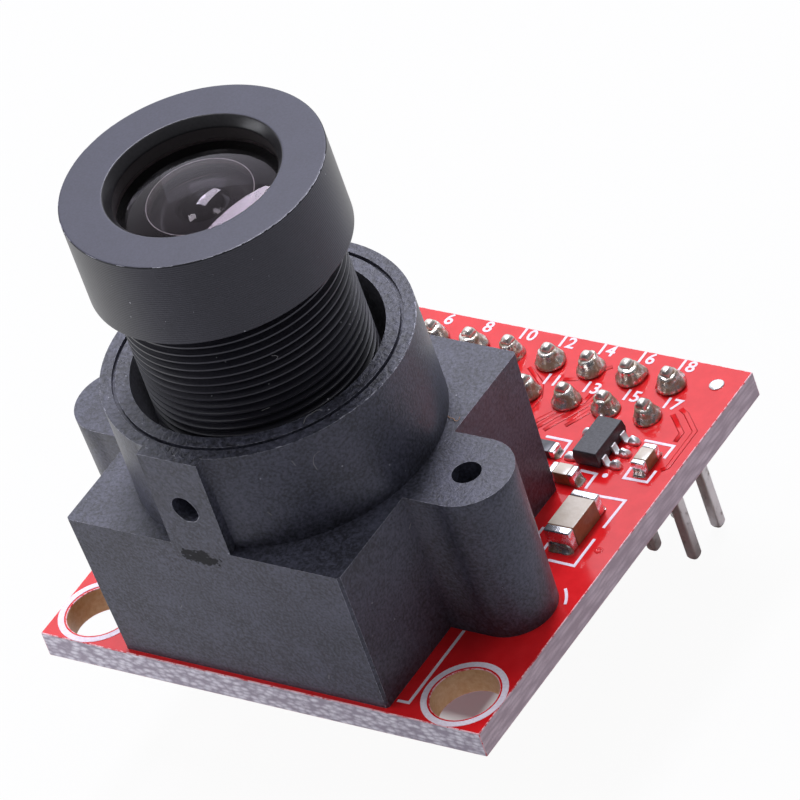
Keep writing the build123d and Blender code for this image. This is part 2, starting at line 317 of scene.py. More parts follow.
# Printed lines and copper tracks: a white epoxy legend screened onto the lacquer, and
# thin copper under it that stands up as soft ridges. The pins carry plain numbers.
legend_height = 0.018
track_height = 0.007
legend_width = 0.17
track_width = 0.15
hole_ring = (2.0, 2.34)
number_height = 1.15
number_swell = 0.02
number_rows = (25.12, 22.27)
odd_number_shift = 0.75
pitch = 2.54
columns = 9
rows_y = (23.55, 21.01)
column_x = [(column - (columns - 1) / 2) * pitch for column in range(columns)]
legend_lines = [
    [(9.05, 4.1), (9.05, -1.37), (8.35, -1.39)],
    [(10.6, 14.98), (12.38, 15.04), (12.32, 12.9)],
    [(12.3, 12.03), (12.3, 9.95), (10.65, 9.98)],
    [(9.05, 11.55), (9.08, 12.1)],
    [(9.98, 10.6), (10.0, 11.25)],
    [(10.95, 19.42), (12.78, 19.43), (12.75, 18.45)],
    [(12.82, 17.5), (12.81, 16.6), (11.37, 16.56), (11.35, 17.4)],
    [(8.7, 16.47), (9.72, 16.44), (9.74, 15.3)],
    [(5.4, 18.31), (6.97, 18.31), (7.02, 17.05)],
]
track_lines = [
    [(11.6, 22.1), (12.1, 21.85), (13.3, 20.75), (13.3, 17.9), (13.05, 17.6)],
    [(11.4, 21.6), (12.65, 20.45), (12.65, 19.75)],
    [(6.6, 21.9), (6.45, 21.2), (5.9, 20.3), (5.2, 19.1), (5.0, 18.7)],
    [(6.1, 21.9), (6.0, 21.2), (5.4, 20.4), (4.7, 19.2), (4.5, 18.8)],
    [(5.7, 21.5), (5.0, 20.4), (4.3, 19.4), (4.1, 18.9)],
    [(7.0, 21.6), (6.85, 20.9), (6.4, 20.0), (6.0, 19.3)],
    [(3.9, 22.5), (4.6, 22.7), (6.1, 24.1)],
    [(1.5, 22.9), (2.9, 21.9), (3.4, 20.9), (3.3, 19.6), (2.6, 18.9)],
]


def corner(shape, x, y, z):
    """Adds a corner, given in millimetres."""
    return shape.verts.new((x * mm, y * mm, z * mm))


def circle(shape, centre, radius, z, steps):
    """Adds a level ring of corners round a point in the plan."""
    return [corner(shape, centre[0] + radius * cos(tau * i / steps),
                   centre[1] + radius * sin(tau * i / steps), z) for i in range(steps)]


def skin(shape, rows, ends="capped"):
    """Joins rings of corners into a tube, whose ends are capped, left open or joined."""
    pairs = list(zip(rows, rows[1:]))
    if ends == "joined":
        pairs.append((rows[-1], rows[0]))
    for a, b in pairs:
        for k in range(len(a)):
            j = (k + 1) % len(a)
            shape.faces.new((a[k], a[j], b[j], b[k]))
    if ends == "capped":
        shape.faces.new(rows[0])
        shape.faces.new(rows[-1])


def ribbon(shape, points, width, height, crown=1.0):
    """Adds a raised line with mitred corners along points in the plan, in millimetres."""
    points = [Vector(p) for p in points]
    rows = []
    for i, p in enumerate(points):
        before = (p - points[i - 1]).normalized() if i else (points[1] - p).normalized()
        after = (points[i + 1] - p).normalized() if i + 1 < len(points) else before
        along = (before + after).normalized()
        side = Vector((-along.y, along.x)) * (width / 2 / max(0.4, along.dot(before)))
        rows.append([corner(shape, *(p + side * share), board_top + rise)
                     for share, rise in ((1, 0), (crown, height), (-crown, height), (-1, 0))])
    skin(shape, rows)


def disc_ring(shape, centre, inner, outer, height, start=0.0, sweep=tau, steps=48):
    """Adds a flat printed ring, or part of one, round a point in the plan."""
    closed = sweep > tau - 0.001
    rows = []
    for i in range(steps if closed else steps + 1):
        turn = start + sweep * i / steps
        rows.append([corner(shape, centre[0] + r * cos(turn), centre[1] + r * sin(turn),
                            board_top + rise)
                     for r, rise in ((outer, 0), (outer, height), (inner, height), (inner, 0))])
    skin(shape, rows, "joined" if closed else "capped")


def button(shape, centre, radius, height, steps=20):
    """Adds a low round mound, such as a printed dot or a tinned pad."""
    skin(shape, [circle(shape, centre, radius * share, board_top + height * level, steps)
                 for share, level in ((1.0, 0.0), (0.92, 0.6), (0.6, 1.0))])


legend_white = grained("legend_ink", (0.86, 0.80, 0.87), (0.66, 0.46, 0.55), 0.16, 0.55)
printed = bmesh.new()
for line in legend_lines:
    ribbon(printed, line, legend_width, legend_height)
for side in (-1, 1):
    disc_ring(printed, (side * hole_x, 0), *hole_ring, legend_height)
disc_ring(printed, (10.8, 6.45), 2.62, 2.78, legend_height, start=radians(18),
          sweep=radians(26), steps=8)
button(printed, (10.25, 16.47), 0.17, legend_height)
new_piece("legend_lines", printed, [legend_white], "solder_mask", smooth=False)

copper = bmesh.new()
for line in track_lines:
    ribbon(copper, line, track_width * 2, track_height, crown=0.5)
disc_ring(copper, (12.98, 11.34), 0.1, 0.24, track_height, steps=24)
new_piece("copper_tracks", copper, [solder_mask], "solder_mask")


def meshed(line):
    """The mesh of a curve or of lettering."""
    lying = new_object("line", line)
    bpy.context.view_layer.update()
    data = bpy.data.meshes.new_from_object(lying)
    bpy.data.objects.remove(lying)
    return data


def pin_number(number, x, y):
    """One plain number of the legend, cut from the built-in typeface."""
    label = bpy.data.curves.new(f"pin_number_{number}", "FONT")
    label.body = str(number)
    label.size = number_height * mm
    label.align_x = label.align_y = "CENTER"
    label.extrude = legend_height * mm / 2
    label.offset = number_swell * mm
    label.resolution_u = 3
    data = meshed(label)
    middle = (board_top + legend_height / 2) * mm
    data.transform(Matrix.Translation((x * mm, y * mm, middle)))
    return data


numbers = bmesh.new()
for column, x in enumerate(column_x):
    numbers.from_mesh(pin_number(2 * column + 2, x, number_rows[0]))
    numbers.from_mesh(pin_number(2 * column + 1, x + odd_number_shift, number_rows[1]))
bmesh.ops.remove_doubles(numbers, verts=numbers.verts, dist=merge_gap * mm)
new_piece("pin_numbers", numbers, [legend_white], "solder_mask", smooth=False)


# Pin header: eighteen square pins of tinned wire, pressed through a black moulded strip
# under the board. Each was soldered by hand on top, so no two joints are alike.
header_black = grained("header_moulding", (0.012, 0.012, 0.013), (0.05, 0.05, 0.052), 0.18, 0.55)
softened("header_strip", "header_block", 0.08, [header_black])


def worn_metal(name, colour, stain, roughness, size, cover):
    """Bare metal under a broken film that isn't metal, such as flux left on solder."""
    material, tree, shader = finish(name, roughness, metallic=1.0)
    film = place(tree, wear_and_highlight_mask, Size=size, Cover=cover)["Mask"]
    mottle = place(tree, grain, Colour=colour, Fleck=[c * 0.8 for c in colour], Size=size / 2,
                   Spread=0.6)
    fill(tree, shader, Roughness=mapped(tree, film, 0.0, 1.0, roughness, roughness + 0.15),
         Metallic=mapped(tree, film, 0.0, 1.0, 1.0, 0.25))
    shade = blended(tree, film, mottle["Colour"], stain)
    surface(tree, shader, shade, mottle["Height"], 0.25, size / 6)
    return material


pin_tin = worn_metal("tinned_pin", (0.72, 0.67, 0.61), (0.34, 0.29, 0.24), 0.32, 0.9, 0.4)
solder_tin = worn_metal("flux_stained_solder", (0.78, 0.75, 0.70), (0.30, 0.22, 0.15), 0.2, 0.55,
                        0.58)
bright_tin = worn_metal("bright_tin", (0.93, 0.93, 0.94), (0.72, 0.70, 0.68), 0.27, 0.4, 0.35)
matte_tin = worn_metal("matte_tin", (0.96, 0.95, 0.95), (0.80, 0.78, 0.76), 0.40, 0.4, 0.3)
softened("square_pins", "header_pins", 0.16, [pin_tin])

solder_steps = 28
solder_least_radius = 0.40
solder_profile = [(0.75, 0.0), (0.76, 0.07), (0.72, 0.17), (0.66, 0.30), (0.60, 0.44),
                  (0.54, 0.60), (0.49, 0.76), (0.46, 0.88), (0.40, 0.92)]


def solder_mound(shape, x, y, seed):
    """Adds one hand-made joint: a hollow-sided cone that leans, ripples and stops unevenly."""
    chance = random.Random(seed)
    lean = Vector((chance.uniform(-0.06, 0.1), chance.uniform(-0.12, 0.05)))
    fullness = chance.uniform(0.95, 1.25)
    spike_turn = chance.uniform(0, tau)
    spike = chance.uniform(0.0, 0.28)
    rows = []
    for radius, level in solder_profile:
        row = []
        for i in range(solder_steps):
            turn = tau * i / solder_steps
            ripple = noise.noise(Vector((cos(turn), sin(turn), level * 1.7 + seed * 7.3)) * 1.3)
            share = min(1.0, level / 0.2) * (1 - 0.5 * level)
            wing = spike * max(0.0, cos(turn - spike_turn)) ** 3
            r = radius * (1 + (fullness - 1) * share + 0.22 * ripple * share + wing * share)
            r = max(r, solder_least_radius)
            z = level * (1 + 0.22 * noise.noise(Vector((cos(turn), sin(turn), seed * 3.1))))
            row.append(corner(shape, x + lean.x * level + r * cos(turn),
                              y + lean.y * level + r * sin(turn), board_top + z))
        rows.append(row)
    skin(shape, rows)


mounds = bmesh.new()
for column, x in enumerate(column_x):
    for k, y in enumerate(rows_y):
        solder_mound(mounds, x, y, 2 * column + 1 + k)
joints = new_piece("solder_mounds", mounds, [solder_tin], "solder")
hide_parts("header_solder")

tinned = bmesh.new()
button(tinned, (12.57, 24.26), 0.44, 0.09, steps=28)
button(tinned, (11.64, 14.17), 0.1, 0.05)
new_piece("tinned_pads", tinned, [bright_tin], "solder")


# Image sensor: a dark square package with its cover glass, on a ring of solder lands.
# It sits in the dark under the holder, straight below the lens.
sensor_dark = grained("sensor_package", (0.05, 0.05, 0.055), (0.12, 0.12, 0.13), 0.3, 0.5)
softened("sensor_package", "image_sensor", 0.04, [sensor_dark])
softened("sensor_lands", "sensor_solder", 0.02, [bright_tin])


def glass_finish(name, tint, ior=1.5, **sockets):
    """Clear glass with one tint."""
    return finish(name, 0.0, IOR=ior, Transmission_Weight=1.0, Base_Color=tint, **sockets)[0]


cover_glass = glass_finish("cover_glass", (0.93, 0.97, 0.98))
softened("sensor_window", "sensor_glass", 0.02, [cover_glass])


# Voltage regulator: a black epoxy package on five tinned gull-wing leads, each one
# standing in a small puddle of solder on its pad.
epoxy = grained("chip_epoxy", (0.016, 0.017, 0.020), (0.07, 0.07, 0.08), 0.14, 0.42, relief=0.35)
softened("regulator_package", "regulator_body", 0.05, [epoxy])
softened("regulator_legs", "regulator_leads", 0.03, [matte_tin])
lead_low, lead_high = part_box("regulator_leads")
lead_rows = [0.0, 0.95, -0.95]
lead_middle = (lead_low.y + lead_high.y) / 2 / mm


def puddle(shape, x, y, half_width, half_depth, height, seed):
    """Adds a low solder pool round a point in the plan, higher at its middle."""
    cells = 10
    levels = []
    for i in range(cells + 1):
        row = []
        for j in range(cells + 1):
            u, v = 2 * i / cells - 1, 2 * j / cells - 1
            crown = max(0.0, 1 - max(abs(u), abs(v)) ** 2.4)
            lump = 1 + 0.3 * noise.noise(Vector((u, v, seed * 5.7)))
            row.append(corner(shape, x + u * sqrt(1 - v * v * 0.42) * half_width,
                              y + v * sqrt(1 - u * u * 0.42) * half_depth,
                              board_top + height * crown * lump))
        levels.append(row)
    for a, b in zip(levels, levels[1:]):
        for j in range(cells):
            shape.faces.new((a[j], b[j], b[j + 1], a[j + 1]))
    rim = ([row[0] for row in levels[:-1]] + levels[-1][:-1]
           + [row[-1] for row in levels[:0:-1]] + levels[0][:0:-1])
    shape.faces.new(rim)


pools = bmesh.new()
for k, shift in enumerate(lead_rows):
    y = lead_middle + shift
    puddle(pools, lead_high.x / mm + 0.06, y, 0.40, 0.27, 0.46, k + 1)
    if shift:
        puddle(pools, lead_low.x / mm, y, 0.42, 0.31, 0.36, k + 11)
new_piece("regulator_solder", pools, [matte_tin], "solder")


# Chip capacitors and a chip resistor: fired ceramic blocks with tinned ends. The solder
# has climbed their ends as small hollow fillets.
# One ceramic in two copies: a paler one for the tops, a painted sheen, and a darker brown one for
# the sides, a painted shade.
ceramic = grained("capacitor_ceramic", (0.50, 0.42, 0.32), (0.66, 0.60, 0.50), 0.5, 0.3,
                  relief=0.15, IOR=1.9)
shaded_ceramic_sides = grained("ceramic_side_painted_shade", (0.26, 0.11, 0.045), (0.40, 0.22, 0.11), 0.4, 0.35, relief=0.15)
glaze = grained("resistor_glaze", (0.03, 0.03, 0.035), (0.10, 0.10, 0.11), 0.3, 0.3)
chip_finishes = [ceramic, shaded_ceramic_sides]
large_ceramic = softened("large_ceramic", "large_capacitor_body", 0.05, chip_finishes)
softened("large_ceramic_ends", "large_capacitor_caps", 0.09, [bright_tin])
small_ceramics = softened("small_ceramics", "small_capacitor_bodies", 0.04, chip_finishes)
# Upright faces take the darker copy with painted shade; the rest take the paler copy with painted
# sheen.
for chip in (large_ceramic, small_ceramics):
    for face in chip.data.polygons:
        on_side = abs(face.normal.z) < side_limit
        face.material_index = chip_finishes.index(shaded_ceramic_sides if on_side else ceramic)
softened("small_ceramic_ends", "small_capacitor_caps", 0.07, [bright_tin])
softened("resistor_chip", "resistor_body", 0.03, [glaze])
softened("resistor_ends", "resistor_caps", 0.06, [bright_tin])


def end_fillet(shape, start, end, out, height, seed):
    """Adds the solder fillet against one end of a chip, from start to end along its foot."""
    along_steps, out_steps = 10, 5
    start, end, out = Vector(start), Vector(end), Vector(out)
    rows = []
    for i in range(along_steps + 1):
        t = i / along_steps
        foot = start.lerp(end, t)
        swell = (1 - abs(2 * t - 1) ** 5) ** 0.5 * 0.75 + 0.2
        swell *= 1 + 0.2 * noise.noise(Vector((t * 3, seed, 0)))
        row = []
        for k in range(out_steps + 1):
            s = k / out_steps
            row.append(corner(shape, *(foot + out * (swell * s)),
                              board_top + height * swell * (1 - s) ** 1.7))
        row.append(corner(shape, *foot, board_top))
        rows.append(row)
    skin(shape, rows)


large_low, large_high = [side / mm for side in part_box("large_capacitor_caps")]
fillets = bmesh.new()
for start, end, out, height, seed in (
        (large_low.xy, (large_high.x, large_low.y), (0, -0.34), 0.5, 3),
        ((large_low.x, large_high.y), large_high.xy, (0, 0.34), 0.5, 4),
        ((11.7, 17.01), (12.5, 17.01), (0, -0.26), 0.45, 5),
        ((11.7, 18.61), (12.5, 18.61), (0, 0.26), 0.45, 6),
        ((9.15, 15.25), (9.15, 16.05), (0.3, 0), 0.45, 7),
        ((6.85, 16.85), (6.85, 17.65), (0.24, 0), 0.3, 8)):
    end_fillet(fillets, start, end, out, height, seed)
new_piece("chip_fillets", fillets, [solder_tin], "solder")


# Lens holder: one black moulding of glass-filled plastic, drafted to leave its mould, with
# two screw ears, a round turret and a flat boss. Its rim is rubbed pale, and it is dusty.
holder_edge = 0.09
holder_roughness = 0.46
axis = Vector((-0.2, 6.45))
turret_top = 17.05
bore_floor = 12.45
bore_radius = 6.8
scuff_centre = (-0.42, -2.3, 10.28)
scuff_half = (1.35, 0.5, 0.55)


def scuff_mask(tree):
    """One dark scuff on the front face, below the boss, where the moulding was rubbed."""
    where = add(tree, "TexCoord").outputs["Object"]
    centred = math(tree, "SUBTRACT", where, Vector(scuff_centre) * mm, kind="VectorMath")
    parts = add(tree, "SeparateXYZ", Vector=centred).outputs
    total = 0.0
    for label, half in zip("XYZ", scuff_half):
        share = math(tree, "DIVIDE", parts[label], half * mm)
        total = math(tree, "MULTIPLY_ADD", share, share, total)
    reach = math(tree, "MULTIPLY_ADD", cloud(tree, 3.2 / mm, 3.0, 0.7), -4.2, 2.9)
    return math(tree, "LESS_THAN", total, reach)


def holder_finish(name, colour, fleck, pale=None, size=0.17, relief=0.045):
    """Matte moulding with a fine bloom and a scuff; where pale is given, patches are rubbed."""
    material, tree, shader = finish(name, holder_roughness, IOR=1.5, Coat_Weight=0.15,
                                    Coat_Roughness=0.3)
    mottle = place(tree, grain, Colour=colour, Fleck=fleck, Size=size, Spread=1.0)
    shade = dusted(tree, mottle["Colour"], 0.55, 0.11, 0.2, (0.30, 0.30, 0.34))
    scuff = scuff_mask(tree)
    shade = blended(tree, scuff, shade, (0.004, 0.004, 0.005))
    fill(tree, shader, Roughness=mapped(tree, scuff, 0.0, 1.0, holder_roughness, 0.95))
    if pale:
        shade = blended(tree, place(tree, wear_and_highlight_mask, Size=0.3, Cover=0.6)["Mask"], shade, pale)
    surface(tree, shader, shade, mottle["Height"], 0.8, relief)
    return material


moulding = holder_finish("holder_moulding", (0.013, 0.0132, 0.020), (0.075, 0.077, 0.110))
rubbed_edge = holder_finish("rubbed_edge", (0.045, 0.045, 0.058), (0.16, 0.16, 0.20),
                            pale=(0.55, 0.55, 0.62))
# The turret's bore is painted about ten times paler than the moulding: painted light where the
# bore lies in shade.
bore_painted_light = holder_finish("bore_painted_light", (0.14, 0.14, 0.15), (0.30, 0.30, 0.33))
rough_rim = holder_finish("rough_rim", (0.011, 0.0112, 0.017), (0.080, 0.082, 0.115), size=0.3,
                          relief=0.13)
holder_finishes = [moulding, rubbed_edge, bore_painted_light, rough_rim]
holder = softened("holder_moulding", "lens_holder", holder_edge, holder_finishes,
                  edge_material=holder_finishes.index(rubbed_edge))
for face in holder.data.polygons:
    level = face.center.z / mm
    reach = (face.center.xy / mm - axis).length
    if face.normal.z > 0.9 and level > turret_top - 0.01:
        face.material_index = holder_finishes.index(rough_rim)
    # Faces inside the turret's bore take the paler colour, painted light.
    elif reach < bore_radius + 0.05 and bore_floor - 0.1 < level < turret_top - 0.5:
        face.material_index = holder_finishes.index(bore_painted_light)


# Holder screws: two plain steel pan-head screws from below, through the board and up
# into the ears, which they cut their own thread in.
steel = worn_metal("screw_steel", (0.52, 0.52, 0.53), (0.30, 0.27, 0.25), 0.32, 0.5, 0.35)
softened("pan_screws", "holder_screws", 0.1, [steel])


# Lens barrel: turned from aluminium bar and anodised black. A plain grip head, a stepped
# bore for the glass, and a fine right-hand thread that screws into the holder.
thread_pitch = 0.5
thread_land = 0.10
crest_radius = 6.0
root_radius = 5.66
barrel_low, barrel_high = [side.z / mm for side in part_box("lens_barrel")]
head_radius = 7.0
head_bottom = 23.5
mouth_radius = 4.7
mouth_depth = 0.55
seat_radius = 4.35
seat_level = 26.65
wall_radius = 4.3
shelf_level = 26.0
shelf_height = 0.3
shelf_radius = 1.5
hollow_radius = 2.7
filter_radius = 5.0
filter_depth = 0.8
face_inset = 0.2
around = 160


def rounded(corners, edge):
    """The section of a turned piece with each corner rounded off by edge."""
    bend_steps = 3
    rows = []
    for i, here in enumerate(corners):
        back = corners[i - 1] - here
        ahead = corners[(i + 1) % len(corners)] - here
        cut = min(edge, back.length * 0.45, ahead.length * 0.45)
        a, b = here + back.normalized() * cut, here + ahead.normalized() * cut
        for k in range(bend_steps + 1):
            t = k / bend_steps
            rows.append(a * (1 - t) ** 2 + here * 2 * t * (1 - t) + b * t * t)
    return rows


def barrel_shape():
    """Head, thread and stepped bore as one closed turned mesh; the thread is a true helix."""
    head, inset = head_radius, face_inset
    filter_seat = barrel_low + filter_depth
    bore = [(root_radius, barrel_low), (filter_radius, barrel_low), (filter_radius, filter_seat),
            (wall_radius, filter_seat), (wall_radius, shelf_level), (shelf_radius, shelf_level),
            (shelf_radius, shelf_level + shelf_height), (hollow_radius, seat_level),
            (seat_radius, seat_level), (seat_radius, barrel_high - mouth_depth),
            (mouth_radius, barrel_high), (mouth_radius + inset, barrel_high),
            (head - inset, barrel_high), (head, barrel_high), (head, barrel_high - inset),
            (head, head_bottom + inset), (head, head_bottom), (root_radius, head_bottom)]
    shape = bmesh.new()
    section = rounded([Vector(point) for point in bore], 0.07)[2:-2]
    first, last = barrel_low + 0.06, head_bottom - 0.05
    turns = int((last - first) / thread_pitch) + 2
    flank = (thread_pitch - 2 * thread_land) / 2
    one_turn = [(root_radius, 0.0), (root_radius, thread_land),
                (crest_radius, thread_land + flank), (crest_radius, 2 * thread_land + flank)]
    columns_made = []
    for i in range(around + 1):
        turn = tau * i / around
        column = []
        for k in range(turns):
            for radius, rise in one_turn:
                z = first + (k - 1) * thread_pitch + rise + thread_pitch * i / around
                level = min(max(z, first), last)
                column.append((radius if level == z else root_radius, level))
        columns_made.append([corner(shape, axis.x + r * cos(turn), axis.y + r * sin(turn), z)
                             for r, z in [*section, *column[::-1]]])
    skin(shape, columns_made, "open")
    bmesh.ops.remove_doubles(shape, verts=shape.verts, dist=0.0002 * mm)
    bmesh.ops.dissolve_degenerate(shape, edges=shape.edges, dist=0.0002 * mm)
    return shape


def anodised_finish(name, colour, line_pitch, strength, dust):
    """Black anodising over fine turning marks, which run round the axis."""
    material, tree, shader = finish(name, 0.38, IOR=1.55)
    mottle = place(tree, grain, Colour=colour, Fleck=[c * 1.7 + 0.01 for c in colour], Size=0.12,
                   Spread=0.5)
    shade = dusted(tree, mottle["Colour"], 0.5, 0.13, dust, (0.32, 0.32, 0.34))
    wobble = cloud(tree, 0.7 / mm, 2.0)
    phase = math(tree, "MULTIPLY_ADD", axes(tree)["Z"], tau / (line_pitch * mm), wobble)
    relief = math(tree, "MULTIPLY_ADD", mottle["Height"], 0.8, math(tree, "SINE", phase))
    surface(tree, shader, shade, relief, strength, 0.006)
    return material


anodised = anodised_finish("anodised_black", (0.016, 0.015, 0.022), 0.13, 0.45, 0.26)
# The head's top face is a bluer copy of the anodising: its blue is a painted sheen, while its
# finer turning marks and fewer specks are its own.
anodised_face_painted_sheen = anodised_finish("anodised_face_painted_sheen", (0.0165, 0.0163, 0.034), 0.19, 0.25, 0.06)
# The bore's wall above the lens seat is a paler brown-black than the rest of the bore: painted
# light on a band that lies in shade.
seat_wall_painted_light = grained("seat_wall_painted_light", (0.06, 0.052, 0.052), (0.08, 0.07, 0.07), 0.15, 0.3)
bore_black, well_black = [
    grained(name, (0.012, 0.011, 0.012), (0.03, 0.028, 0.03), 0.15, roughness, relief=0.1,
            Specular_IOR_Level=shine)
    for name, roughness, shine in (("bore_black", 0.3, 0.5), ("well_black", 0.7, 0.06))]
# The head's rounded top edge is painted near black: a painted dark reflection.
edge_painted_dark_reflection = grained("edge_painted_dark_reflection", (0.004, 0.004, 0.005), (0.02, 0.02, 0.024), 0.2, 0.6)
barrel_finishes = [anodised, bore_black, edge_painted_dark_reflection, anodised_face_painted_sheen, seat_wall_painted_light, well_black]
barrel = new_piece("lens_barrel_turned", barrel_shape(), barrel_finishes, "anodised_barrel",
                   "barrel")
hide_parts("lens_barrel")
barrel.data.set_sharp_from_angle(angle=radians(38))
for face in barrel.data.polygons:
    level = face.center.z / mm
    reach = (face.center.xy / mm - axis).length
    inward = face.normal.xy.dot(face.center.xy / mm - axis) < 0
    bored = inward or reach < mouth_radius - 0.1
    inside = bored and reach < filter_radius + 0.1 and level < barrel_high - 0.01
    # The rounded top edge of the head takes the painted dark reflection.
    on_edge = reach > head_radius - 0.1 and 0.1 < face.normal.z < 0.95
    # The flat top of the head takes the copy with the painted sheen.
    on_top = face.normal.z > 0.95 and level > barrel_high - 0.01
    # The wall between the seat and the mouth takes the paler colour, painted light.
    above_seat = inside and seat_level + 0.05 < level < barrel_high - mouth_depth - 0.05
    in_well = inside and level < seat_level + 0.05
    face.material_index = barrel_finishes.index(
        seat_wall_painted_light if above_seat else well_black if in_well else bore_black if inside
        else edge_painted_dark_reflection if on_edge else anodised_face_painted_sheen if on_top else anodised)


# Inside the barrel: a brass aperture stop, a plain spacer tube and a rear retaining ring,
# all blackened, stacked behind the middle element.
blackened = grained("blackened_brass", (0.02, 0.018, 0.016), (0.06, 0.05, 0.04), 0.2, 0.4)
softened("stop_plate", "aperture_stop", 0.03, [blackened], "barrel")
softened("spacer_sleeve", "spacer_tube", 0.05, [anodised], "barrel")
softened("retaining_ring", "rear_retaining_ring", 0.05, [blackened], "barrel")


# Lens elements: ground and polished glass. The front one is a meniscus with an
# anti-reflection coat that glints lilac, and its hollow's rim shows as a fine ring.
glass_steps = 128
dish_rise = 0.8
front_rise = 0.65
front_wall = 0.7
ground_width = 0.05
flat_radius = 0.4


def round_size(node):
    """The radius, lowest level and highest level of a round node, in millimetres."""
    low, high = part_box(node)
    return (high.x - low.x) / 2 / mm, low.z / mm, high.z / mm


def dome_points(radius, rim_level, rise, steps=14):
    """Points of a dome's section from its rim in to the axis; a hollow's rise goes up too."""
    ball = (radius ** 2 + rise ** 2) / (2 * rise)
    reach = sqrt(ball * ball - radius * radius)
    points = []
    for k in range(steps):
        r = radius * (1 - k / steps)
        points.append((r, rim_level + sqrt(ball * ball - r * r) - reach))
    return points


def element(name, node, materials, over, under):
    """A round element from the sections of its two faces, each given from rim to axis."""
    shape = bmesh.new()
    rings = [circle(shape, axis, r, z, glass_steps) for r, z in over[::-1] + under]
    skin(shape, rings, "open")
    for ring, point in ((rings[0], over[-1]), (rings[-1], under[-1])):
        middle = corner(shape, *axis, point[1])
        for i in range(glass_steps):
            shape.faces.new((ring[i], ring[(i + 1) % glass_steps], middle))
    piece = new_piece(name, shape, materials, "coated_glass", "optics")
    piece.data.set_sharp_from_angle(angle=radians(30))
    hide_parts(node)
    return piece


coated, hollow_glass = [
    glass_finish(name, (0.92, 0.88, 0.90), ior=1.42, Specular_Tint=tint)
    for name, tint in (("coated_glass", (0.62, 0.50, 0.57)), ("hollow_glass", (1.0, 0.94, 1.0)))]
inner_glass = glass_finish("inner_glass", (0.30, 0.28, 0.34), ior=1.75)
ground_edge = grained("ground_edge", (0.30, 0.26, 0.28), (0.45, 0.40, 0.42), 0.2, 0.5)
ground_side = grained("ground_side", (0.36, 0.30, 0.30), (0.44, 0.37, 0.37), 0.3, 0.6,
                      metallic=1.0)
rear_lacquer = grained("rear_lacquer", (0.022, 0.018, 0.018), (0.03, 0.025, 0.025), 0.3, 0.6,
                       Specular_IOR_Level=0.06)
front_radius, front_seat = round_size("front_lens")[:2]
front_finishes = [coated, ground_edge, rear_lacquer, ground_side, hollow_glass]
front = element("front_element", "front_lens", front_finishes,
                dome_points(front_radius, front_seat + front_wall, front_rise),
                [(front_radius, front_seat), (hollow_radius + ground_width, front_seat)]
                + dome_points(hollow_radius, front_seat, dish_rise))
for face in front.data.polygons:
    reach = (face.center.xy / mm - axis).length
    if abs(face.center.z / mm - front_seat) < 0.001:
        on_rim = reach < hollow_radius + ground_width
        face.material_index = front_finishes.index(ground_edge if on_rim else rear_lacquer)
    elif reach > front_radius - 0.01:
        face.material_index = front_finishes.index(ground_side)
    elif face.normal.z < 0:
        face.material_index = front_finishes.index(hollow_glass)
for name, node, dome_radius, rise in (("middle_element", "middle_lens", 1.25, 1.0),
                                      ("rear_element", "rear_lens", 1.5, 0.35)):
    radius, low, high = round_size(node)
    element(name, node, [inner_glass],
            [(radius, high - rise)] + dome_points(dome_radius, high - rise, rise),
            [(radius, low), (flat_radius, low)])


# Infrared filter: a diced plate of blue-green glass, glued into the recess at the
# barrel's rear.
filter_glass = glass_finish("filter_glass", (0.55, 0.85, 0.82))
softened("filter_plate", "infrared_filter", 0.03, [filter_glass], "optics")


# Dust and burrs: one brown textile hair and a few pale lint fibres that have settled on
# the moulding and the thread, and the thin rubbed-up burr that its turned rims keep.
hair_path = [(7.50, 9.88, 11.0), (7.72, 9.72, 11.06), (7.95, 9.80, 11.01), (8.12, 9.58, 11.06),
             (8.30, 9.70, 11.01), (8.22, 9.95, 11.05)]
lint_paths = [
    [(6.55, 1.46, 15.89), (6.36, 1.21, 15.83), (6.26, 1.09, 15.54), (6.22, 1.04, 15.24),
     (6.28, 1.11, 14.86)],
    [(5.57, 0.35, 15.99), (5.64, 0.41, 15.62)],
    [(8.41, 3.61, 9.04), (8.41, 3.85, 9.20)],
    [(5.62, 2.01, 17.07), (5.48, 2.35, 17.12), (5.64, 2.76, 17.07), (5.81, 3.08, 17.12),
     (6.05, 3.13, 17.07)],
    [(3.9, -0.9, 13.2), (4.05, -0.82, 12.95)],
    [(-3.2, -2.33, 6.1), (-3.05, -2.34, 6.3)],
    [(5.2, -2.33, 3.2), (5.3, -2.33, 3.5)],
]
thread_lint_paths = [
    [(4.50, 2.66, 20.8), (4.63, 2.80, 20.75), (4.72, 2.90, 20.56), (4.60, 2.74, 20.5)],
    [(3.46, 1.66, 17.74), (3.66, 1.80, 17.8), (3.82, 1.93, 17.8)],
]
turret_edge = (8.355, turret_top - 0.02, 0.016)
head_edge = (head_radius - 0.022, barrel_high - 0.022, 0.002)
screw_hole = (-0.2, -2.3, 13.65)
screw_hole_radius = 0.8


def strand(paths, thickness, seed, wander=0.0):
    """Thin round strands along paths of points, uneven in thickness."""
    chance = random.Random(seed)
    line = bpy.data.curves.new("strand", "CURVE")
    line.dimensions = "3D"
    line.bevel_depth = thickness * mm
    line.bevel_resolution = 1
    line.use_fill_caps = True
    for path in paths:
        spline = line.splines.new("NURBS")
        spline.points.add(len(path) - 1)
        for point, spot in zip(spline.points, path):
            x, y, z = [(v + chance.uniform(-wander, wander)) * mm for v in spot]
            point.co = (x, y, z, 1)
            point.radius = chance.uniform(0.5, 1.0)
        spline.order_u = min(3, len(path))
        spline.use_endpoint_u = True
    shape = bmesh.new()
    shape.from_mesh(meshed(line))
    return shape


